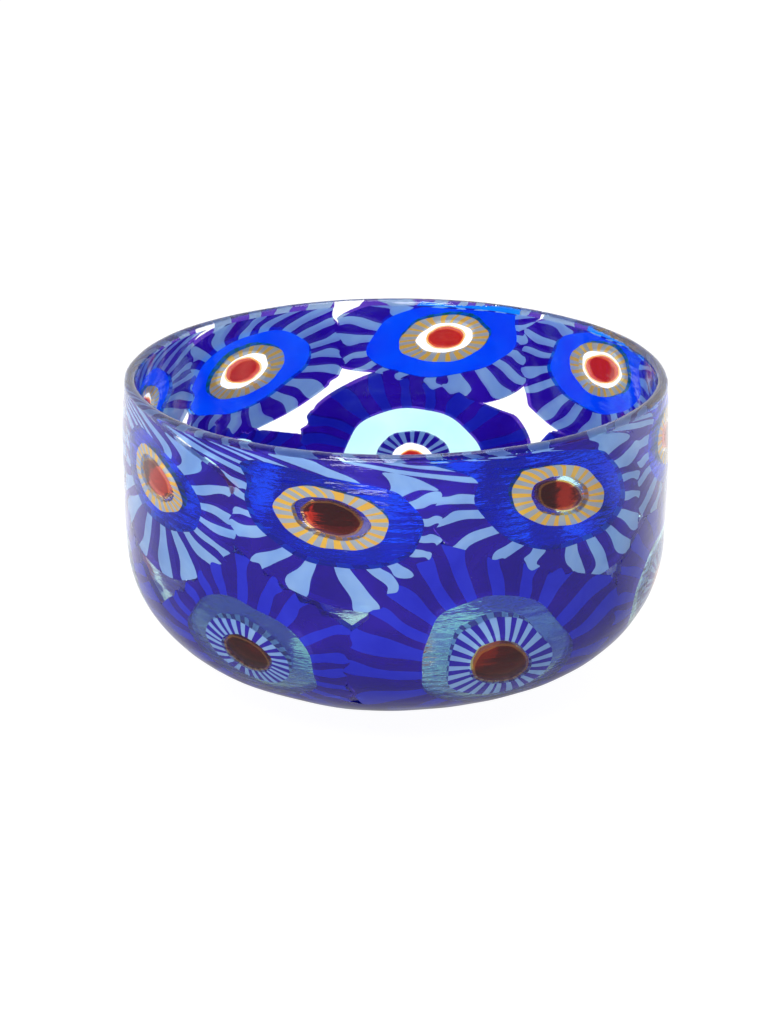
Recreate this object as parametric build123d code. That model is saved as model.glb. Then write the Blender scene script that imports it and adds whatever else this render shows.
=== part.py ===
from build123d import *
import os
from math import acos, cos, degrees, radians, sin

os.makedirs("parts", exist_ok=True)

# Art glass bowl: thick slices of patterned glass cane (murrine), fused edge to edge and blown
# into one round wall. Millimetres, +Z up, the ground flat it stands on at Z = 0, front at -Y.

# ---- the blown wall ----------------------------------------------------------------------
HEIGHT = 119.0           # rest plane to the top of the rim
BASE_R = 38.0            # ground flat the bowl stands on
WALL = 4.4               # thickness of the wall and of the rim
FLOOR = 4.8              # thickness over the ground flat
BEAD = WALL / 2          # radius of the clear fire-polished bead on the rim

# The outside is three arcs, each tangent to the one before. An arc is given by its radius,
# and its ends by how steeply the outline climbs there (degrees from level).
UNDER_R, CORNER_R, SIDE_R = 149.0, 45.5, 480.0
UNDER_FROM, UNDER_TO, CORNER_TO = 14.0, 31.8, 88.0
DISH_TO = 20.0           # where the dished floor inside joins the arc of the wall

# ---- the murrine -------------------------------------------------------------------------
# Each row: angle round the bowl from the front, height of the middle, half width and half
# height of the coloured ring, lean; then the core, clear collar and eye as shares of the ring,
# how far the outer staves run past it along and up, and how hard the slice pushed against its
# neighbours, which moves their seams away from it (square mm). Angles are in degrees.
UPPER = [
    (-12, 97, 32, 16.2, -12, 0.34, 0.42, 0.62, 22, 15, -700),
    (33, 100, 34, 19.0, -13, 0.31, 0.39, 0.60, 22, 15, 0),
    (78, 100, 29, 17.0, -10, 0.32, 0.42, 0.64, 20, 17, -400),
    (122, 103, 34, 18.5, -13, 0.30, 0.42, 0.60, 24, 16, 300),
    (168, 103, 35, 18.0, -10, 0.26, 0.39, 0.60, 22, 14, -100),
    (-140, 94, 33, 16.0, -10, 0.29, 0.43, 0.62, 22, 12, -100),
    (-100, 98, 28, 13.5, -5, 0.30, 0.42, 0.60, 20, 16, 600),
    (-56, 95, 28, 15.0, -14, 0.36, 0.44, 0.63, 19, 17, -300),
]
LOWER = [
    (-31, 41, 28, 20.5, -22, 0.32, 0.36, 0.61, 27, 18, -600),
    (21, 41, 33, 25.5, -40, 0.36, 0.40, 0.69, 34, 30, 700),
    (77, 44, 34, 24.0, -8, 0.28, 0.33, 0.70, 24, 20, 300),
    (120, 47, 28, 23.0, -6, 0.34, 0.39, 0.60, 20, 18, -100),
    (176, 47, 32, 25.0, -3, 0.19, 0.31, 0.53, 30, 18, 600),
    (-133, 46, 28, 23.0, -8, 0.34, 0.39, 0.60, 20, 16, 0),
    (-82, 45, 27, 22.0, -10, 0.34, 0.39, 0.66, 26, 21, -300),
]
# the one murrina under the floor, which is round
BASE_RING = 42.0         # radius of its aqua ring
BASE_SHARES = (0.34, 0.39, 0.64)
BASE_STAVES = 62.0
BASE_PULL = 6200.0

NEAR = 125.0             # murrine whose middles are further apart than this never meet
CHIP = 6.0               # clear glass smaller than this (mm3) is only the seam's own bead


# ---- outline of the wall -----------------------------------------------------------------
def spoke(climb, radius):
    """From the middle of an arc to its point where the outline climbs at this angle."""
    return Vector(radius * sin(radians(climb)), 0, -radius * cos(radians(climb)))


UNDER_MID = Vector(BASE_R, 0, 0) - spoke(UNDER_FROM, UNDER_R)
CORNER_MID = UNDER_MID + spoke(UNDER_TO, UNDER_R - CORNER_R)
SIDE_MID = CORNER_MID + spoke(CORNER_TO, CORNER_R - SIDE_R)
SIDE_TO = degrees(acos((SIDE_MID.Z - HEIGHT + BEAD) / (SIDE_R - BEAD)))


def wall_arc(middle, radius, start, end):
    stops = [middle + spoke(climb, radius) for climb in (start, (start + end) / 2, end)]
    return ThreePointArc(*stops)


OUTSIDE = [
    wall_arc(UNDER_MID, UNDER_R, UNDER_FROM, UNDER_TO),
    wall_arc(CORNER_MID, CORNER_R, UNDER_TO, CORNER_TO),
    wall_arc(SIDE_MID, SIDE_R, CORNER_TO, SIDE_TO),
]
INSIDE = [
    wall_arc(SIDE_MID, SIDE_R - WALL, SIDE_TO, CORNER_TO),
    wall_arc(CORNER_MID, CORNER_R - WALL, CORNER_TO, UNDER_TO),
    wall_arc(UNDER_MID, UNDER_R - WALL, UNDER_TO, DISH_TO),
]
RIM_SEAM = Line(OUTSIDE[-1] @ 1, INSIDE[0] @ 0)


def wall_section():
    """Half the section of the patterned wall, in the XZ plane from the axis out."""
    # the dish of the floor leaves the wall along it and ends level, over the ground flat
    join = INSIDE[-1] @ 1
    dish_r = (join.Z - FLOOR) / (1 - cos(radians(DISH_TO)))
    dish = wall_arc(join - spoke(DISH_TO, dish_r), dish_r, DISH_TO, 0)
    floor = Vector(0, 0, FLOOR)
    ground_flat = Line((0, 0, 0), (BASE_R, 0, 0))
    closing = [dish, Line(dish @ 1, floor), Line(floor, (0, 0, 0))]
    return Face(Wire([ground_flat] + OUTSIDE + [RIM_SEAM] + INSIDE + closing))


def rim_section():
    """Half-round bead that closes the wall at the top."""
    upward = Vector(cos(radians(SIDE_TO)), 0, sin(radians(SIDE_TO)))
    bead = ThreePointArc(RIM_SEAM @ 0, RIM_SEAM @ 0.5 + upward * BEAD, RIM_SEAM @ 1)
    return Face(Wire([bead, RIM_SEAM]))


# ---- the murrine on the wall -------------------------------------------------------------
class Murrina:
    """One slice of cane: its seat on the outside of the wall, and the sizes of its rings.

    The seat's plane has X round the bowl, Y up the wall and Z outward. Every seam of the
    slice points at the bowl's axis, at a distance reach behind the seat.
    """

    def __init__(self, seat, reach, ring, lean, shares, staves, pull):
        self.seat = seat.rotated((0, 0, lean))
        self.reach = reach
        self.ring = ring
        self.shares = shares
        self.staves = staves
        self.pull = pull

    def cutter(self, share=1.0, past=(0.0, 0.0)):
        """Elliptical cone round the murrina's middle, from inside the wall to outside it."""
        wide = self.ring[0] * share + past[0]
        high = self.ring[1] * share + past[1]
        ends = []
        for out in (0.6, 1.15):
            middle = self.seat.origin + self.seat.z_dir * self.reach * (out - 1)
            plane = Plane(middle, x_dir=self.seat.x_dir, z_dir=self.seat.z_dir)
            ends.append((plane * Ellipse(wide * out, high * out)).face().outer_wire())
        return Solid.make_loft(ends, ruled=True)

    def seam(self, other):
        """Plane halfway to another murrina, facing it, moved by the difference in pull."""
        way = other.seat.origin - self.seat.origin
        halfway = 0.5 + (self.pull - other.pull) / (2 * way.length**2)
        return Plane(self.seat.origin + way * halfway, z_dir=way)


def seat(angle, height):
    """Seat on the outside of the wall and its distance from the bowl's axis along Z."""
    upright = height > (CORNER_MID + spoke(CORNER_TO, CORNER_R)).Z
    middle, radius = (SIDE_MID, SIDE_R) if upright else (CORNER_MID, CORNER_R)
    climb = degrees(acos((middle.Z - height) / radius))
    point = middle + spoke(climb, radius)
    normal = spoke(climb, 1)
    away = Vector(sin(radians(angle)), -cos(radians(angle)), 0)
    around = Vector(cos(radians(angle)), sin(radians(angle)), 0)
    place = Plane(
        away * point.X + Vector(0, 0, point.Z),
        x_dir=around,
        z_dir=away * normal.X + Vector(0, 0, normal.Z),
    )
    return place, point.X / normal.X


def row(layout):
    murrine = []
    for angle, height, wide, high, lean, core, collar, eye, along, up, pull in layout:
        place, reach = seat(angle, height)
        shares = (core, collar, eye, 1.0)
        murrine.append(Murrina(place, reach, (wide, high), lean, shares, (along, up), pull))
    return murrine


def base_murrina():
    under = Plane((0, 0, 0), x_dir=(1, 0, 0), z_dir=(0, 0, -1))
    ring = (BASE_RING, BASE_RING)
    staves = (BASE_STAVES, BASE_STAVES)
    return Murrina(under, UNDER_MID.Z, ring, 0, (*BASE_SHARES, 1.0), staves, BASE_PULL)


def cell(murrina, wall, murrine):
    """The murrina's piece of the wall, out to its own rim or to the seam with a neighbour."""
    piece = wall & murrina.cutter(1.0, murrina.staves)
    for other in murrine:
        way = other.seat.origin - murrina.seat.origin
        if other is not murrina and way.length < NEAR:
            piece = split(piece, bisect_by=murrina.seam(other), keep=Keep.BOTTOM)
    return piece


def rings(murrina, piece):
    """The concentric glasses of one murrina, from the core out to the staves."""
    glasses = []
    for share in murrina.shares:
        cutter = murrina.cutter(share)
        glasses.append(piece & cutter)
        piece = piece - cutter
    return glasses + [piece]


# ---- writing the nodes -------------------------------------------------------------------
def write(name, *shapes):
    """One file for a node, with all the solids it holds."""
    solids = [solid for shape in shapes for solid in shape.solids()]
    body = solids[0] if len(solids) == 1 else Compound(children=solids)
    body.label = name
    export_step(body, f"parts/{name}.step")


def write_row(row_name, names, pieces):
    """Cores and collars go by the row; the rings of each murrina have nodes of their own."""
    layers = list(zip(*pieces))
    write(f"{row_name}_cores", *layers[0])
    write(f"{row_name}_collars", *layers[1])
    for number, glasses in enumerate(pieces, start=1):
        for name, glass in zip(names, glasses[2:]):
            write(f"{row_name}_{number}_{name}", glass)


wall = revolve(wall_section(), Axis.Z)
write("clear_rim", revolve(rim_section(), Axis.Z))

upper, lower = row(UPPER), row(LOWER)
murrine = upper + lower + [base_murrina()]
cells = [cell(murrina, wall, murrine) for murrina in murrine]
pieces = [rings(murrina, piece) for murrina, piece in zip(murrine, cells)]

write_row("upper", ("amber_ring", "blue_ring", "staves"), pieces[: len(upper)])
write_row("lower", ("spoke_ring", "aqua_ring", "staves"), pieces[len(upper) : -1])
for name, glass in zip(("core", "collar", "spoke_ring", "aqua_ring", "staves"), pieces[-1]):
    write(f"base_{name}", glass)

between = wall - cells
write("clear_gaps", *[chip for chip in between.solids() if chip.volume > CHIP])
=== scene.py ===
from math import acos, cos, pi, radians, sin

import bpy
import numpy as np
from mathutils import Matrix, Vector


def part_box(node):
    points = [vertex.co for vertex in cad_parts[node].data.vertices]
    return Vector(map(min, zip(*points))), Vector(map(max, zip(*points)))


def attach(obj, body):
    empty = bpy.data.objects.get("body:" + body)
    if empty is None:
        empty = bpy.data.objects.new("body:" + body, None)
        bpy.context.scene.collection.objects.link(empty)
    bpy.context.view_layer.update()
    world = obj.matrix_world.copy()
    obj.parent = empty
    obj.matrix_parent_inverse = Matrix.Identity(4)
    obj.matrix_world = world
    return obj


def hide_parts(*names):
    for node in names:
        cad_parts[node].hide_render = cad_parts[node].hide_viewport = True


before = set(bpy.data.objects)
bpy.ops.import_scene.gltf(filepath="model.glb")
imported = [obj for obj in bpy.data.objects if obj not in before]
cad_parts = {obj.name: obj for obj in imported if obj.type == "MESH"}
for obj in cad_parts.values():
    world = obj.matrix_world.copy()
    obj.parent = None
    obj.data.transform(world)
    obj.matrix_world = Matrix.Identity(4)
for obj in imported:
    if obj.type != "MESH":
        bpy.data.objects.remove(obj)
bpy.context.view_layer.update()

# Art glass bowl of fused murrine. Lengths are in millimetres until a mesh is made; MM turns
# them into Blender's metres. Angle 0 is the front (-Y), counted toward +X.
MM = 0.001

# ---- the wall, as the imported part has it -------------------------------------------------
HEIGHT = (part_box("clear_rim")[1].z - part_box("base_core")[0].z) / MM
WALL = 4.4
FLOOR = (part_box("base_core")[1].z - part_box("base_core")[0].z) / MM
BASE_R = 38.0
BEAD = WALL / 2
UNDER_R, CORNER_R, SIDE_R = 149.0, 45.5, 480.0
UNDER_FROM, UNDER_TO, CORNER_TO, DISH_TO = (radians(a) for a in (14.0, 31.8, 88.0, 20.0))

# ---- the murrine -------------------------------------------------------------------------
# Each row: angle, height, half width and half height of the coloured ring, lean; core, collar
# and eye as shares of the ring; how far the staves run past it along and up; how hard it pushed
UPPER = [
    (-12, 97, 32, 16.2, -12, 0.34, 0.42, 0.62, 22, 15, -700),
    (33, 100, 34, 19.0, -13, 0.31, 0.39, 0.60, 22, 15, 0),
    (78, 100, 29, 17.0, -10, 0.32, 0.42, 0.64, 20, 17, -400),
    (122, 103, 34, 18.5, -13, 0.30, 0.42, 0.60, 24, 16, 300),
    (168, 103, 35, 18.0, -10, 0.26, 0.39, 0.60, 22, 14, -100),
    (-140, 94, 33, 16.0, -10, 0.29, 0.43, 0.62, 22, 12, -100),
    (-100, 98, 28, 13.5, -5, 0.30, 0.42, 0.60, 20, 16, 600),
    (-56, 95, 28, 15.0, -14, 0.36, 0.44, 0.63, 19, 17, -300),
]
LOWER = [
    (-31, 41, 28, 20.5, -22, 0.32, 0.36, 0.61, 27, 18, -600),
    (21, 41, 33, 25.5, -40, 0.36, 0.40, 0.69, 34, 30, 700),
    (77, 44, 34, 24.0, -8, 0.28, 0.33, 0.70, 24, 20, 300),
    (120, 47, 28, 23.0, -6, 0.34, 0.39, 0.60, 20, 18, -100),
    (176, 47, 32, 25.0, -3, 0.19, 0.31, 0.53, 30, 18, 600),
    (-133, 46, 28, 23.0, -8, 0.34, 0.39, 0.60, 20, 16, 0),
    (-82, 45, 27, 22.0, -10, 0.34, 0.39, 0.66, 26, 21, -300),
]
BASE_RING, BASE_SHARES, BASE_RUN, BASE_PULL = 42.0, (0.34, 0.39, 0.64), 62.0, 6200.0
NEAR = 125.0             # murrine further apart than this never meet

WALL_STEP = 0.5          # between the points of the wall's outline
THICKNESS_PASSES = 30    # to settle how thick the floor is, measured square to the outside


# ---- the section of the wall -------------------------------------------------------------
def spoke(climb, radius):
    return np.array([radius * np.sin(climb), -radius * np.cos(climb)])


UNDER_MID = np.array([BASE_R, 0.0]) - spoke(UNDER_FROM, UNDER_R)
CORNER_MID = UNDER_MID + spoke(UNDER_TO, UNDER_R - CORNER_R)
SIDE_MID = CORNER_MID + spoke(CORNER_TO, CORNER_R - SIDE_R)
SIDE_TO = acos((SIDE_MID[1] - HEIGHT + BEAD) / (SIDE_R - BEAD))


DISH_SHARE = 0.9         # keeps the square root real for places far outside the dish


def dish_height(r):
    """Height of the dished floor inside, out to where it joins the arc of the wall."""
    join = UNDER_MID + spoke(DISH_TO, UNDER_R - WALL)
    dish_r = (join[1] - FLOOR) / (1 - cos(DISH_TO))
    out = np.clip(r - (join[0] - dish_r * sin(DISH_TO)), 0, None)
    return FLOOR + dish_r - np.sqrt(dish_r**2 - np.clip(out, 0, dish_r * DISH_SHARE) ** 2)


def wall_table():
    """Outside and inside of the wall, point for point, along the arc length of the outside."""
    spans = [
        (UNDER_MID, UNDER_R, UNDER_FROM, UNDER_TO),
        (CORNER_MID, CORNER_R, UNDER_TO, CORNER_TO),
        (SIDE_MID, SIDE_R, CORNER_TO, SIDE_TO),
    ]
    flat = np.linspace(0, BASE_R, int(BASE_R / WALL_STEP))[:-1]
    outside = [np.stack([flat, flat * 0], 1)]
    climb = [UNDER_FROM * flat / BASE_R]
    for middle, radius, start, end in spans:
        last = 1 if end == SIDE_TO else 0
        angles = np.linspace(start, end, int(radius * (end - start) / WALL_STEP) + 1)
        angles = angles if last else angles[:-1]
        climb.append(angles)
        outside.append(middle + spoke(angles, radius).T)
    outside, climb = np.concatenate(outside), np.concatenate(climb)
    thick = np.full(len(climb), WALL)
    floor = climb < DISH_TO
    for _ in range(THICKNESS_PASSES):
        inner_r = outside[:, 0] - thick * np.sin(climb)
        deep = (dish_height(inner_r) - outside[:, 1]) / np.cos(climb)
        thick = np.where(floor, deep, WALL)
    inside = outside + np.stack([-np.sin(climb), np.cos(climb)], 1) * thick[:, None]
    inside[:, 0] = np.clip(inside[:, 0], 0, None)
    run = np.concatenate([[0], np.cumsum(np.hypot(*np.diff(outside, axis=0).T))])
    return run, outside, inside


RUN, OUTSIDE, INSIDE = wall_table()
TOP = RUN[-1]
LAYERS = (OUTSIDE, INSIDE)


def plain_point(angle, run, layer):
    """Place on the wall before any hand-blown unevenness."""
    r = np.interp(run, RUN, LAYERS[layer][:, 0])
    z = np.interp(run, RUN, LAYERS[layer][:, 1])
    return np.stack([r * np.sin(angle), -r * np.cos(angle), z], -1)


# ---- the unevenness of a hand-blown bowl -------------------------------------------------
def smooth(x):
    x = np.clip(x, 0, 1)
    return x * x * (3 - 2 * x)


RIM_R = 100.0            # radius of the rim, near enough to turn lengths round it into angles
TWIST = 36.0             # how far the glass is dragged round at the rim, most
TWIST_HIGH = 13.5        # how far below the rim the drag starts, most
TWIST_TOWARD = 25.0      # it is strongest this many degrees to the left of the front
TWIST_LEAST, HIGH_LEAST = 0.22, 0.5    # shares of the drag and of its depth left at the back
TWIST_GROWTH = 1.9       # how steeply the drag grows toward the rim
RIM_REACH, FOOT_REACH = 12.0, 40.0     # the wandering dies away this near the rim and the foot


def drag(angle, run):
    """The murrine flow: dragged round at the rim, and wandering a little everywhere."""
    front = (1 + np.cos(angle + radians(TWIST_TOWARD))) / 2
    high = TWIST_HIGH * (HIGH_LEAST + (1 - HIGH_LEAST) * front**8)
    up = np.clip((run - (TOP - high)) / high, 0, 1)
    strength = TWIST_LEAST + (1 - TWIST_LEAST) * front**2
    turn = -(TWIST / RIM_R) * up**TWIST_GROWTH * strength
    free = smooth((TOP - run) / RIM_REACH) * smooth(run / FOOT_REACH)
    turn = turn + free * 0.010 * np.sin(3 * angle + run / 9)
    turn = turn + free * 0.006 * np.sin(11 * angle - run / 6 + 1)
    rise = free * (0.6 * np.sin(5 * angle + run / 13) + 0.4 * np.sin(17 * angle + run / 7))
    return angle + turn, run + rise


WAVES_GROW = 45.0        # the waves are full-grown this far from the ground flat


def swell(angle, run):
    """Low waves in the wall, the same on both faces, and none over the ground flat."""
    free = smooth((run - BASE_R) / WAVES_GROW)
    waves = 0.22 * np.sin(4 * angle + run / 22) + 0.13 * np.sin(9 * angle - run / 15 + 2)
    waves = waves + 0.05 * np.sin(23 * angle + run / 5)
    return waves * free


def wall_point(angle, run, layer):
    """Place on the blown wall, in millimetres."""
    r = np.interp(run, RUN, LAYERS[layer][:, 0])
    z = np.interp(run, RUN, LAYERS[layer][:, 1])
    ahead, back = run + WALL_STEP, run - WALL_STEP
    dr = np.interp(ahead, RUN, OUTSIDE[:, 0]) - np.interp(back, RUN, OUTSIDE[:, 0])
    dz = np.interp(ahead, RUN, OUTSIDE[:, 1]) - np.interp(back, RUN, OUTSIDE[:, 1])
    size = np.hypot(dr, dz)
    out = swell(angle, run)
    r = r + out * dz / size
    z = z - out * dr / size
    return np.stack([r * np.sin(angle), -r * np.cos(angle), z], -1)


def wall_normal(angle, run, layer):
    """Outward on the outside, into the bowl on the inside."""
    tiny, little_turn = 0.3, 0.003
    low, high = np.clip(run - tiny, 0, TOP), np.clip(run + tiny, 0, TOP)
    up = wall_point(angle, high, layer) - wall_point(angle, low, layer)
    right, left = angle + little_turn, angle - little_turn
    around = wall_point(right, run, layer) - wall_point(left, run, layer)
    at_the_axis = 1e-5
    flat = np.hypot(around[..., 0], around[..., 1]) < at_the_axis
    normal = np.cross(around, up)
    normal[flat] = (0, 0, -1)
    normal /= np.linalg.norm(normal, axis=-1)[..., None]
    return normal if layer == 0 else -normal


# ---- one murrina's own coordinates -------------------------------------------------------
class Murrina:
    """A slice of cane on the wall. share and turn are polar coordinates in its tilted ellipse:
    share 1 is the edge of the coloured ring, and every seam points at the bowl's axis."""

    def __init__(self, name, seat, ring, shares, run_out, pull, seed):
        self.name, self.ring, self.shares = name, ring, shares
        self.run_out, self.pull = run_out, pull
        self.middle, self.x, self.y, self.z, self.reach = seat
        self.apex = self.middle - self.z * self.reach
        self.rng = np.random.default_rng(seed)
        self.wave = self.rng.uniform(0, 2 * pi, 8)
        height = self.apex[2]
        self.sight = [np.arctan2(l[:, 1] - height, l[:, 0]) for l in LAYERS]

    def place(self, share, turn, layer):
        """Angle round the bowl and run up the wall, on the outside (0) or the inside (1)."""
        u = share * self.ring[0] * np.cos(turn)
        v = share * self.ring[1] * np.sin(turn)
        way = self.z * self.reach + u[..., None] * self.x + v[..., None] * self.y
        sight = np.arctan2(way[..., 2], np.hypot(way[..., 0], way[..., 1]))
        run = np.interp(sight, self.sight[layer], RUN)
        return np.arctan2(way[..., 0], -way[..., 1]), run

    def edge(self, number, turn):
        """Share of the boundary outside glass number 0 to 3, a little uneven."""
        w = self.wave
        uneven = 0.022 * np.sin(2 * turn + w[number]) + 0.014 * np.sin(5 * turn + w[number + 2])
        uneven = uneven + 0.010 * np.sin(9 * turn + w[number + 4])
        return self.shares[number] * (1 + uneven)


def seat_on_wall(angle, height, lean):
    upright = height > (CORNER_MID + spoke(CORNER_TO, CORNER_R))[1]
    middle, radius = (SIDE_MID, SIDE_R) if upright else (CORNER_MID, CORNER_R)
    climb = acos((middle[1] - height) / radius)
    r, z = middle + spoke(climb, radius)
    a, lean = radians(angle), radians(lean)
    away = np.array([sin(a), -cos(a), 0.0])
    around = np.array([cos(a), sin(a), 0.0])
    out = away * sin(climb) + np.array([0, 0, -cos(climb)])
    up = np.cross(out, around)
    x = around * cos(lean) + up * sin(lean)
    y = up * cos(lean) - around * sin(lean)
    return away * r + np.array([0, 0, z]), x, y, out, r / sin(climb)


def all_murrine():
    made = []
    for row, layout in (("upper", UPPER), ("lower", LOWER)):
        for number, values in enumerate(layout, start=1):
            angle, height, wide, high, lean, core, collar, eye, along, up, pull = values
            seat = seat_on_wall(angle, height, lean)
            shares, run_out = (core, collar, eye, 1.0), (along, up)
            name = f"{row}{number}"
            made.append(Murrina(name, seat, (wide, high), shares, run_out, pull, len(made)))
    axes = [np.array(v, float) for v in ((0, 0, 0), (1, 0, 0), (0, -1, 0), (0, 0, -1))]
    ring, run_out = (BASE_RING, BASE_RING), (BASE_RUN, BASE_RUN)
    seat, shares = (*axes, UNDER_MID[1]), (*BASE_SHARES, 1.0)
    made.append(Murrina("base", seat, ring, shares, run_out, BASE_PULL, len(made)))
    return made


TURNS = np.linspace(0, 2 * pi, 721)
SEARCH = np.linspace(0.75, 4.2, 260)   # shares at which the edge of a cell is looked for
OVAL_UNEVEN = 0.02                # how far a cell's own edge is from a true ellipse
ZIGZAG, ZIGZAG_LONG = 1.1, 7.5    # depth and length of the notches where two murrine meet
ZIGZAG_ENDS, ZIGZAG_FADE = 20.0, 8.0   # how far they go from the seam's middle, and fade
RIM_SLACK = 0.02                  # a cell ends this far below the seam of the rim's bead
LEAST_STAVE = 0.9                 # staves squeezed by the rim keep at least this length


def find_cells(murrine):
    """For each murrina and each face of the wall, how far out it reaches at every turn: to its
    own edge (oval) and to the seam with a neighbour or the rim (seam), both in shares."""
    grid_turn, grid_share = np.meshgrid(TURNS, SEARCH, indexing="ij")
    for place, one in enumerate(murrine):
        wide, high = one.ring[0] + one.run_out[0], one.ring[1] + one.run_out[1]
        across = one.ring[0] * np.cos(TURNS) / wide
        upward = one.ring[1] * np.sin(TURNS) / high
        own = 1 / np.hypot(across, upward)
        one.oval = own * (1 + OVAL_UNEVEN * np.sin(3 * TURNS + one.wave[6]))
        one.seam = []
        for layer in (0, 1):
            angle, run = one.place(grid_share, grid_turn, layer)
            point = plain_point(angle, run, layer)
            past = run - (TOP - RIM_SLACK)
            for spot, other in enumerate(murrine):
                way = other.middle - one.middle
                gap = np.linalg.norm(way)
                if other is one or gap > NEAR:
                    continue
                side = 1 if place < spot else -1
                normal = way / gap
                face = one.middle + way * (0.5 + (one.pull - other.pull) / (2 * gap**2))
                along = np.cross(normal, (one.z + other.z) / 2) * side
                way_along = (point - face) @ along
                notch = ZIGZAG * np.sin(2 * pi * way_along / ZIGZAG_LONG)
                notch = notch * smooth((ZIGZAG_ENDS - np.abs(way_along)) / ZIGZAG_FADE)
                past = np.maximum(past, (point - face) @ normal - notch * side)
            beyond = past > 0
            hit = np.argmax(beyond, axis=1)
            hit = np.where(beyond.any(axis=1), np.clip(hit, 1, None), len(SEARCH) - 1)
            rows = np.arange(len(TURNS))
            a, b = past[rows, hit - 1], past[rows, hit]
            part = np.clip(-a / np.where(b - a == 0, 1, b - a), 0, 1)
            one.seam.append(SEARCH[hit - 1] + part * (SEARCH[hit] - SEARCH[hit - 1]))


# ---- meshes ------------------------------------------------------------------------------
class Glass:
    """Closed pieces of the wall, gathered for one object. Each is a grid on the outside, the
    same grid on the inside, and side walls between them, which are the fused seams."""

    def __init__(self):
        self.points, self.normals, self.faces = [], [], []
        self.seams, self.count = [], 0

    def add(self, murrina, share, turn, round_about=False):
        """share and turn: functions of the layer, or grids with rows going outward."""
        places = []
        for layer in (0, 1):
            angle, run = murrina.place(share[layer], turn[layer], layer)
            angle, run = drag(angle, run)
            run = np.clip(run, 0, TOP)
            places.append((wall_point(angle, run, layer), wall_normal(angle, run, layer)))
        self.grid(places, round_about)

    def grid(self, places, round_about=False):
        rows, cols = places[0][0].shape[:2]
        if round_about:
            cols -= 1
        start = self.count
        for point, normal in places:
            self.points.append(point[:, :cols].reshape(-1, 3))
            self.normals.append(normal[:, :cols].reshape(-1, 3))
        size = rows * cols
        self.count += 2 * size
        index = np.arange(size).reshape(rows, cols) + start
        if round_about:
            index = np.concatenate([index, index[:, :1]], axis=1)
        a, b = index[:-1, :-1], index[:-1, 1:]
        c, d = index[1:, 1:], index[1:, :-1]
        outer = np.stack([a, d, c, b], -1).reshape(-1, 4)
        inner = np.stack([a, b, c, d], -1).reshape(-1, 4) + size
        self.faces += [outer, inner]
        self.seams += [np.zeros(len(outer) + len(inner), bool)]
        loops = [index[0, :], index[-1, ::-1]]
        if not round_about:
            loops += [index[::-1, 0], index[:, -1]]
        for line in loops:
            p, q = line[:-1], line[1:]
            side = np.stack([p, q, q + size, p + size], -1)
            self.faces.append(side)
            self.seams.append(np.ones(len(side), bool))

    def tube(self, point, normal):
        """A ring with an open section, closed by a seam from its last row to its first."""
        rows, cols = point.shape[0], point.shape[1] - 1
        self.points.append(point[:, :cols].reshape(-1, 3))
        self.normals.append(normal[:, :cols].reshape(-1, 3))
        index = np.arange(rows * cols).reshape(rows, cols) + self.count
        index = np.concatenate([index, index[:, :1]], axis=1)
        self.count += rows * cols
        a, b = index[:-1, :-1], index[:-1, 1:]
        c, d = index[1:, 1:], index[1:, :-1]
        self.faces.append(np.stack([a, b, c, d], -1).reshape(-1, 4))
        p, q = index[-1], index[0]
        self.faces.append(np.stack([p[:-1], p[1:], q[1:], q[:-1]], -1))
        self.seams += [np.zeros((rows - 1) * cols, bool), np.ones(cols, bool)]

    def build(self, name, material, seam, nodes, slot):
        points = np.concatenate(self.points) * MM
        faces = np.concatenate(self.faces)
        is_seam = np.concatenate(self.seams)
        normals = np.concatenate(self.normals)
        mesh = bpy.data.meshes.new(name)
        mesh.from_pydata(points.tolist(), [], faces.tolist())
        mesh.materials.append(material)
        mesh.materials.append(seam)
        mesh.polygons.foreach_set("material_index", is_seam.astype(np.int32))
        mesh.polygons.foreach_set("use_smooth", ~is_seam)
        loops = normals[faces]
        loops[is_seam] = 0
        mesh.normals_split_custom_set(loops.reshape(-1, 3).tolist())
        mesh.validate()
        piece = bpy.data.objects.new(name, mesh)
        bpy.context.scene.collection.objects.link(piece)
        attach(piece, "root")
        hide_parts(*nodes)
        return piece


def tile_grid(inner, outer, left, right, rows, cols):
    """Shares and turns of a piece between two boundaries (per face of the wall) and two
    curved sides, left and right, which are functions of how far out the row is."""
    out = np.linspace(0, 1, rows)[:, None]
    across = np.linspace(0, 1, cols)[None, :]
    turn = left(out) + (right(out) - left(out)) * across
    shares = []
    for layer in (0, 1):
        low = np.interp(turn, TURNS, inner[layer], period=2 * pi)
        high = np.interp(turn, TURNS, outer[layer], period=2 * pi)
        shares.append(low + (high - low) * out)
    return shares, (turn, turn)


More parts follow.
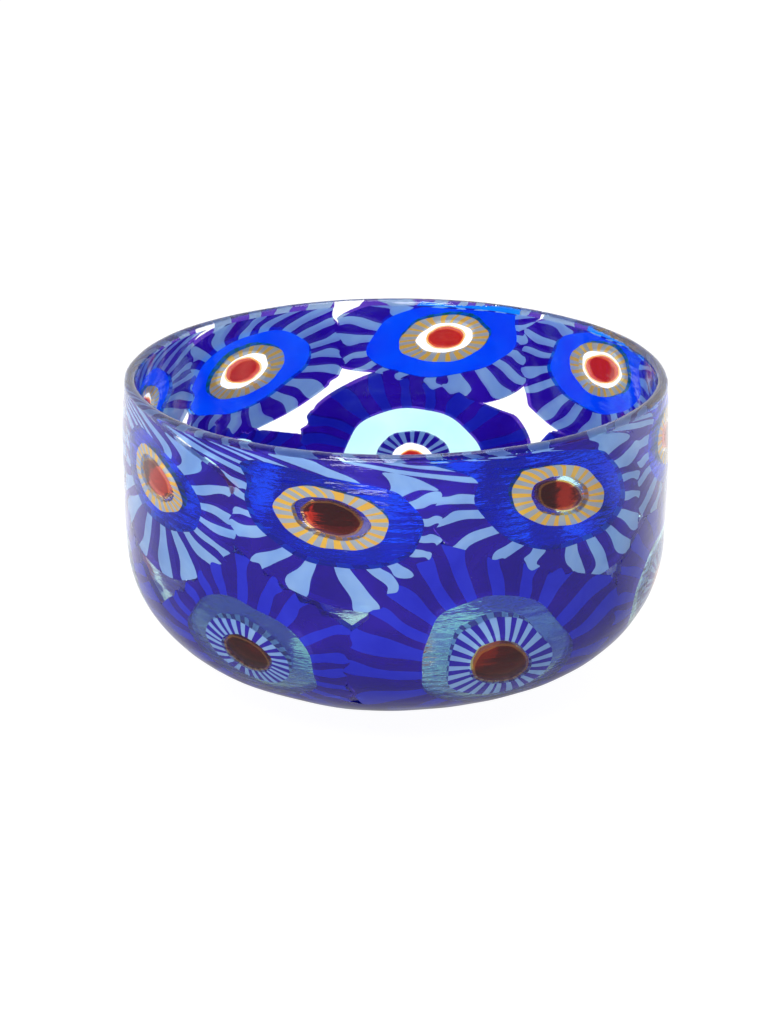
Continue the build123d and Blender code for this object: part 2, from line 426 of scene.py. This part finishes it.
def canes(murrina, inner, outer, count, part, rows, cols, sway=0.0, spread=0.0):
    """Two sets of tiles that alternate round the murrina: the pale canes and those between.

    part is the pale canes' share of the round. sway bends them, and spread makes some widen
    and others narrow on their way out, as canes do when the slice is pressed against others.
    """
    rng = murrina.rng
    middle = (np.arange(count) + rng.uniform(-0.12, 0.12, count)) * 2 * pi / count
    half = part * pi / count * rng.uniform(0.85, 1.15, count)
    phase, pace = rng.uniform(0, 2 * pi, count), rng.uniform(0.3, 0.7, count)
    flare, round_off = rng.uniform(-1.0, 1.0, count) * spread, rng.uniform(0.1, 0.8, count)

    def centre(k, out):
        return middle[k] + sway * np.sin(2 * pi * pace[k] * out + phase[k]) * out * pi / count

    def width(k, out):
        wave = 1 + flare[k] * smooth(out * 1.4) + 0.5 * spread * np.sin(7 * out + phase[k]) * out
        return half[k] * wave * (1 - spread * round_off[k] * np.clip((out - 0.8) / 0.2, 0, 1) ** 3)

    pale, between = Glass(), Glass()
    for k in range(count):
        after, lap = (k + 1) % count, 2 * pi * ((k + 1) // count)
        left = lambda out, k=k: centre(k, out) - width(k, out)
        right = lambda out, k=k: centre(k, out) + width(k, out)
        far = lambda out, k=after, lap=lap: centre(k, out) - width(k, out) + lap
        pale.add(murrina, *tile_grid(inner, outer, left, right, rows, cols))
        between.add(murrina, *tile_grid(inner, outer, right, far, rows, cols))
    return pale, between


def ring_between(murrina, inner, outer, rows):
    out = np.linspace(0, 1, rows)[:, None]
    shares = [inner[layer][None, :] * (1 - out) + outer[layer][None, :] * out for layer in (0, 1)]
    turn = np.broadcast_to(TURNS[None, :], shares[0].shape)
    glass = Glass()
    glass.add(murrina, shares, (turn, turn), round_about=True)
    return glass


def disc_within(murrina, edge, cells=28):
    """Round piece as a square grid pulled out to the round edge."""
    line = np.linspace(-1, 1, cells + 1)
    u, v = np.meshgrid(line, line, indexing="ij")
    wide = np.abs(u) >= np.abs(v)
    share = np.where(wide, np.abs(u), np.abs(v))
    safe = np.where(share == 0, 1, share)
    turn = np.where(wide, pi / 4 * v / safe * np.sign(u + (u == 0)), 0)
    turn = np.where(wide & (u < 0), turn + pi, turn)
    turn = np.where(~wide, pi / 2 - pi / 4 * u / safe * np.sign(v + (v == 0)), turn)
    turn = np.where(~wide & (v < 0), turn + pi, turn)
    shares = [share * np.interp(turn, TURNS, edge[layer], period=2 * pi) for layer in (0, 1)]
    glass = Glass()
    glass.add(murrina, shares, (turn, turn))
    return glass


LEAST_ROOM = 0.012       # clear corners narrower than this share are only the seam itself
LEAST_CHIP = 0.004       # and a corner's far edge stays this share outside its near edge


def chips_beyond(murrina, glass, rows=5):
    """Clear glass from the murrina's own oval edge out to its seams, where there is any."""
    room = np.minimum(*murrina.seam) - murrina.oval
    open_turns = room[:-1] > LEAST_ROOM
    if not open_turns.any():
        return
    start = int(np.argmin(open_turns))
    order = (np.arange(len(open_turns)) + start) % len(open_turns)
    steps = np.diff(np.concatenate([[0], open_turns[order].astype(int), [0]]))
    for first, last in zip(np.where(steps == 1)[0], np.where(steps == -1)[0]):
        picked = order[first:last]
        if len(picked) < 4:
            continue
        out = np.linspace(0, 1, rows)[:, None]
        turn = np.broadcast_to(np.unwrap(TURNS[picked])[None, :], (rows, len(picked)))
        shares = []
        for layer in (0, 1):
            inner, outer = murrina.oval[picked], murrina.seam[layer][picked]
            shares.append(inner * (1 - out) + np.maximum(outer, inner + LEAST_CHIP) * out)
        glass.add(murrina, shares, (turn, turn))


def rim_bead():
    """Half-round bead of clear glass from the outside of the wall over to the inside."""
    angle = TURNS
    top = np.full_like(angle, TOP)
    outer, inner = wall_point(angle, top, 0), wall_point(angle, top, 1)
    middle, half = (outer + inner) / 2, (outer - inner) / 2
    upward = np.stack([cos(SIDE_TO) * np.sin(angle), -cos(SIDE_TO) * np.cos(angle)], 1)
    upward = np.concatenate([upward, np.full((len(angle), 1), sin(SIDE_TO))], 1)
    turn = np.linspace(0, pi, 13)[:, None, None]
    normal = half / BEAD * np.cos(turn) + upward * np.sin(turn)
    point = middle + half * np.cos(turn) + upward * BEAD * np.sin(turn)
    glass = Glass()
    glass.tube(point, normal)
    return glass


# ---- materials ---------------------------------------------------------------------------
def fused_seam():
    """Two glasses fused together show no face between them."""
    material = bpy.data.materials.new("fused_seam")
    material.use_nodes = True
    nodes, links = material.node_tree.nodes, material.node_tree.links
    nodes.clear()
    output = nodes.new("ShaderNodeOutputMaterial")
    clear = nodes.new("ShaderNodeBsdfTransparent")
    links.new(clear.outputs[0], output.inputs["Surface"])
    return material


GLASS_IOR, GLASS_ROUGH = 1.5, 0.02
DRIFTS = 60              # drifts of colour in a metre of glass
CORDS = 45               # and cords in a metre up the wall, before they are squashed
CORD_DEPTH = 0.0012      # metres


def glass_material(name, colour, other, through, streak=1.0, bump=0.12):
    """Hand-worked glass: a colour that drifts towards another, fine cords, and a wavy skin.

    through is how much light the glass lets straight through; the rest it scatters. streak and
    bump are how strongly the cords show.
    """
    material = bpy.data.materials.new(name)
    material.use_nodes = True
    nodes, links = material.node_tree.nodes, material.node_tree.links
    shader = nodes["Principled BSDF"]
    shader.inputs["Transmission Weight"].default_value = through
    shader.inputs["IOR"].default_value = GLASS_IOR
    shader.inputs["Roughness"].default_value = GLASS_ROUGH
    where = nodes.new("ShaderNodeTexCoord")
    drift = nodes.new("ShaderNodeTexNoise")
    drift.inputs["Scale"].default_value = DRIFTS
    drift.inputs["Detail"].default_value = 3
    drift.inputs["Distortion"].default_value = 0.6
    links.new(where.outputs["Object"], drift.inputs["Vector"])
    spread = nodes.new("ShaderNodeMapRange")
    spread.inputs["From Min"].default_value = 0.35
    spread.inputs["From Max"].default_value = 0.68
    links.new(drift.outputs["Fac"], spread.inputs["Value"])
    tint = nodes.new("ShaderNodeMix")
    tint.data_type = "RGBA"
    tint.inputs["A"].default_value = (*colour, 1)
    tint.inputs["B"].default_value = (*other, 1)
    links.new(spread.outputs["Result"], tint.inputs["Factor"])
    links.new(tint.outputs["Result"], shader.inputs["Base Color"])
    # cords: long level ripples that the wall was turned into while it was soft
    squash = nodes.new("ShaderNodeMapping")
    squash.inputs["Scale"].default_value = (1, 1, 6)
    links.new(where.outputs["Object"], squash.inputs["Vector"])
    cords = nodes.new("ShaderNodeTexNoise")
    cords.inputs["Scale"].default_value = CORDS
    cords.inputs["Detail"].default_value = 4
    cords.inputs["Roughness"].default_value = 0.55
    links.new(squash.outputs["Vector"], cords.inputs["Vector"])
    skin = nodes.new("ShaderNodeBump")
    skin.inputs["Strength"].default_value = bump
    skin.inputs["Distance"].default_value = CORD_DEPTH * streak
    links.new(cords.outputs["Fac"], skin.inputs["Height"])
    links.new(skin.outputs["Normal"], shader.inputs["Normal"])
    return material


def all_materials():
    """Colour, the colour it drifts to, how much light goes straight through, then the skin."""
    wavy = {"bump": 0.30, "streak": 1.3}
    return {
        "clear": glass_material("clear_glass", (0.96, 0.98, 0.98), (0.98, 0.99, 0.99), 1.0),
        "collar": glass_material("collar_glass", (0.96, 0.96, 0.97), (0.99, 0.97, 0.95), 1.0),
        "red": glass_material("red_core", (0.46, 0.018, 0.010), (0.34, 0.010, 0.008), 0.97),
        "skin": glass_material("core_skin", (0.95, 0.34, 0.05), (0.98, 0.48, 0.12), 0.90),
        "amber": glass_material("amber_cane", (0.92, 0.54, 0.05), (0.80, 0.44, 0.09), 0.30),
        "grey": glass_material("grey_cane", (0.38, 0.44, 0.50), (0.48, 0.54, 0.60), 0.35),
        "cobalt": glass_material("cobalt_glass", (0.0, 0.07, 0.9), (0.0, 0.03, 0.8), 0.93, **wavy),
        "navy": glass_material("navy_stave", (0.020, 0.003, 0.36), (0.035, 0.007, 0.46), 0.55),
        "pale": glass_material("pale_stave", (0.22, 0.42, 0.84), (0.32, 0.54, 0.90), 0.35),
        "mid": glass_material("mid_blue_stave", (0.012, 0.018, 0.54), (0.02, 0.03, 0.62), 0.22),
        "dark": glass_material("navy_spoke", (0.018, 0.006, 0.35), (0.030, 0.010, 0.45), 0.40),
        "aqua": glass_material("aqua_glass", (0.50, 0.88, 0.93), (0.62, 0.94, 0.96), 0.97, **wavy),
    }


# ---- the bowl ----------------------------------------------------------------------------
UPPER_KINDS = {
    "eye": "amber_ring", "ring": "blue_ring",
    "pale_cane": ("grey", "grey_canes", "amber_cane_glass"),
    "cane": ("amber", "amber_canes", "amber_cane_glass"),
    "colour": ("cobalt", "cobalt_glass", "cobalt_glass"),
    "stave": ("navy", "navy_staves", "upper_stave_glass"),
    "pale_stave": ("pale", "pale_staves", "upper_stave_glass"),
}
LOWER_KINDS = {
    "eye": "spoke_ring", "ring": "aqua_ring",
    "pale_cane": ("pale", "pale_spokes", "spoke_cane_glass"),
    "cane": ("dark", "navy_spokes", "spoke_cane_glass"),
    "colour": ("aqua", "aqua_glass", "aqua_glass"),
    "stave": ("navy", "navy_staves", "lower_stave_glass"),
    "pale_stave": ("mid", "blue_staves", "lower_stave_glass"),
}


CORE_SKIN = 0.90                                 # share of the core that is plain red
UPPER_EYE, LOWER_EYE = (22, 0.56), (24, 0.5)     # how many pale canes, their share of the round
UPPER_STAVES = (19, 0.35, 0.35)                  # how many, how much they bend and flare
LOWER_STAVES = (20, 0.25, 0.3)
PALE_STAVES = 0.47                               # the pale staves' share of the round


def make_murrina(one, materials, seam, gaps):
    upper = one.name.startswith("upper")
    kinds = UPPER_KINDS if upper else LOWER_KINDS
    row, number = (one.name[:5], one.name[5:]) if one.name != "base" else ("base", "")
    node = f"{row}_{number}_" if number else "base_"
    group = f"{row}_cores" if number else "base_core"
    collars = f"{row}_collars" if number else "base_collar"
    core, collar, eye, ring = [one.edge(n, TURNS) for n in range(4)]
    skin = core * CORE_SKIN
    reach = np.hypot(one.ring[0] * np.cos(TURNS), one.ring[1] * np.sin(TURNS))
    rings = [np.minimum(ring, one.seam[layer] - LEAST_STAVE / reach) for layer in (0, 1)]
    cells = [np.minimum(one.oval, one.seam[layer]) for layer in (0, 1)]

    def put(glass, key, words, slot, *nodes):
        glass.build(f"{one.name}_{words}", materials[key], seam, nodes, slot)

    put(disc_within(one, (skin, skin)), "red", "core_glass", "red_core_glass", group)
    put(ring_between(one, (skin, skin), (core, core), 2), "skin", "core_skin", "red_core_glass",
        group)
    put(ring_between(one, (core, core), (collar, collar), 3), "collar", "collar_glass",
        "collar_glass", collars)
    count, share = UPPER_EYE if upper else LOWER_EYE
    pale, between = canes(one, (collar, collar), (eye, eye), count, share, 5, 5)
    key, words, slot = kinds["pale_cane"]
    put(pale, key, words, slot, node + kinds["eye"])
    key, words, slot = kinds["cane"]
    put(between, key, words, slot, node + kinds["eye"])
    key, words, slot = kinds["colour"]
    put(ring_between(one, (eye, eye), rings, 8), key, words, slot, node + kinds["ring"])
    wide = 13 if one.name == "base" else 9
    count, sway, spread = UPPER_STAVES if upper else LOWER_STAVES
    pale, between = canes(one, rings, cells, count, PALE_STAVES, 15, wide, sway, spread)
    key, words, slot = kinds["pale_stave"]
    put(pale, key, words, slot, node + "staves")
    key, words, slot = kinds["stave"]
    put(between, key, words, slot, node + "staves")
    chips_beyond(one, gaps)


def make_bowl():
    materials, seam = all_materials(), fused_seam()
    murrine = all_murrine()
    find_cells(murrine)
    gaps = Glass()
    for one in murrine:
        make_murrina(one, materials, seam, gaps)
    gaps.build("gap_glass", materials["clear"], seam, ["clear_gaps"], "clear_glass")
    rim_bead().build("rim_bead", materials["clear"], seam, ["clear_rim"], "clear_glass")


# ---- the set -----------------------------------------------------------------------------
CAMERA_AWAY, CAMERA_UP = 0.800, radians(21.04)
SENSOR, LENS = 36, 73.75                         # millimetres
SHIFT_X, SHIFT_Y = -0.0115, 0.0050
TABLE_HALF, TABLE_DROP = 3.0, 0.0002             # metres; just clear of the ground flat


def set_camera():
    data = bpy.data.cameras.new("camera")
    data.sensor_width = SENSOR
    data.lens = LENS
    data.shift_x, data.shift_y = SHIFT_X, SHIFT_Y
    camera = bpy.data.objects.new("camera", data)
    bpy.context.scene.collection.objects.link(camera)
    middle = Vector((0, 0, HEIGHT * MM / 2))
    back = Vector((0, -cos(CAMERA_UP), sin(CAMERA_UP)))
    camera.location = middle + back * CAMERA_AWAY
    camera.rotation_euler = (pi / 2 - CAMERA_UP, 0, 0)
    bpy.context.scene.camera = camera


def soft_light(name, place, size, power, target=(0, 0, 0.06)):
    data = bpy.data.lights.new(name, "AREA")
    data.size, data.energy = size, power
    lamp = bpy.data.objects.new(name, data)
    bpy.context.scene.collection.objects.link(lamp)
    lamp.location = place
    lamp.rotation_euler = (Vector(place) - Vector(target)).to_track_quat("Z", "Y").to_euler()


def studio_world(behind, ahead):
    """White studio: bright behind the bowl and dimmer on the camera's side, seen as white."""
    world = bpy.data.worlds.new("white_studio")
    world.use_nodes = True
    nodes, links = world.node_tree.nodes, world.node_tree.links
    where = nodes.new("ShaderNodeTexCoord")
    axes = nodes.new("ShaderNodeSeparateXYZ")
    links.new(where.outputs["Generated"], axes.inputs["Vector"])
    fade = nodes.new("ShaderNodeMapRange")
    fade.inputs["From Min"].default_value = -0.35
    fade.inputs["From Max"].default_value = 0.45
    fade.inputs["To Min"].default_value = ahead
    fade.inputs["To Max"].default_value = behind
    links.new(axes.outputs["Y"], fade.inputs["Value"])
    path = nodes.new("ShaderNodeLightPath")
    strength = nodes.new("ShaderNodeMix")
    strength.inputs["B"].default_value = 1.0
    links.new(path.outputs["Is Camera Ray"], strength.inputs["Factor"])
    links.new(fade.outputs["Result"], strength.inputs["A"])
    sky = nodes["Background"]
    sky.inputs["Color"].default_value = (1, 1, 1, 1)
    links.new(strength.outputs["Result"], sky.inputs["Strength"])
    bpy.context.scene.world = world


def white_table():
    """White table top: it always photographs white, but its near half glows only a little at
    the glass, so that light comes through the bowl from behind and its front has no glare."""
    mesh = bpy.data.meshes.new("table_top")
    ways = [(-1, -1), (1, -1), (1, 1), (-1, 1)]
    corners = [(TABLE_HALF * x, TABLE_HALF * y, -TABLE_DROP) for x, y in ways]
    mesh.from_pydata(corners, [], [(0, 1, 2, 3)])
    top = bpy.data.objects.new("table_top", mesh)
    bpy.context.scene.collection.objects.link(top)
    paper = bpy.data.materials.new("white_table")
    paper.use_nodes = True
    nodes, links = paper.node_tree.nodes, paper.node_tree.links
    shader = nodes["Principled BSDF"]
    shader.inputs["Base Color"].default_value = (0.16, 0.16, 0.16, 1)
    shader.inputs["Roughness"].default_value = 0.9
    shader.inputs["Specular IOR Level"].default_value = 0.0
    shader.inputs["Emission Color"].default_value = (1, 1, 1, 1)
    where = nodes.new("ShaderNodeTexCoord")
    axes = nodes.new("ShaderNodeSeparateXYZ")
    links.new(where.outputs["Object"], axes.inputs["Vector"])
    far = nodes.new("ShaderNodeMapRange")
    far.inputs["From Min"].default_value = -0.04
    far.inputs["From Max"].default_value = 0.14
    far.inputs["To Min"].default_value = 0.28
    far.inputs["To Max"].default_value = 1.12
    links.new(axes.outputs["Y"], far.inputs["Value"])
    path = nodes.new("ShaderNodeLightPath")
    glow = nodes.new("ShaderNodeMix")
    glow.inputs["B"].default_value = 0.95
    links.new(path.outputs["Is Camera Ray"], glow.inputs["Factor"])
    links.new(far.outputs["Result"], glow.inputs["A"])
    links.new(glow.outputs["Result"], shader.inputs["Emission Strength"])
    mesh.materials.append(paper)


def set_stage():
    scene = bpy.context.scene
    scene.view_settings.view_transform = "Standard"
    scene.cycles.max_bounces = 24
    scene.cycles.transmission_bounces = 24
    scene.cycles.transparent_max_bounces = 96
    studio_world(behind=1.18, ahead=0.15)
    soft_light("key", (-0.25, -0.95, 1.15), 0.6, 11.0)
    soft_light("low_front", (-0.35, -1.35, 0.22), 0.7, 13.0)
    soft_light("overhead", (0.15, 0.10, 1.3), 0.6, 3.0)
    white_table()


set_camera()
make_bowl()
set_stage()
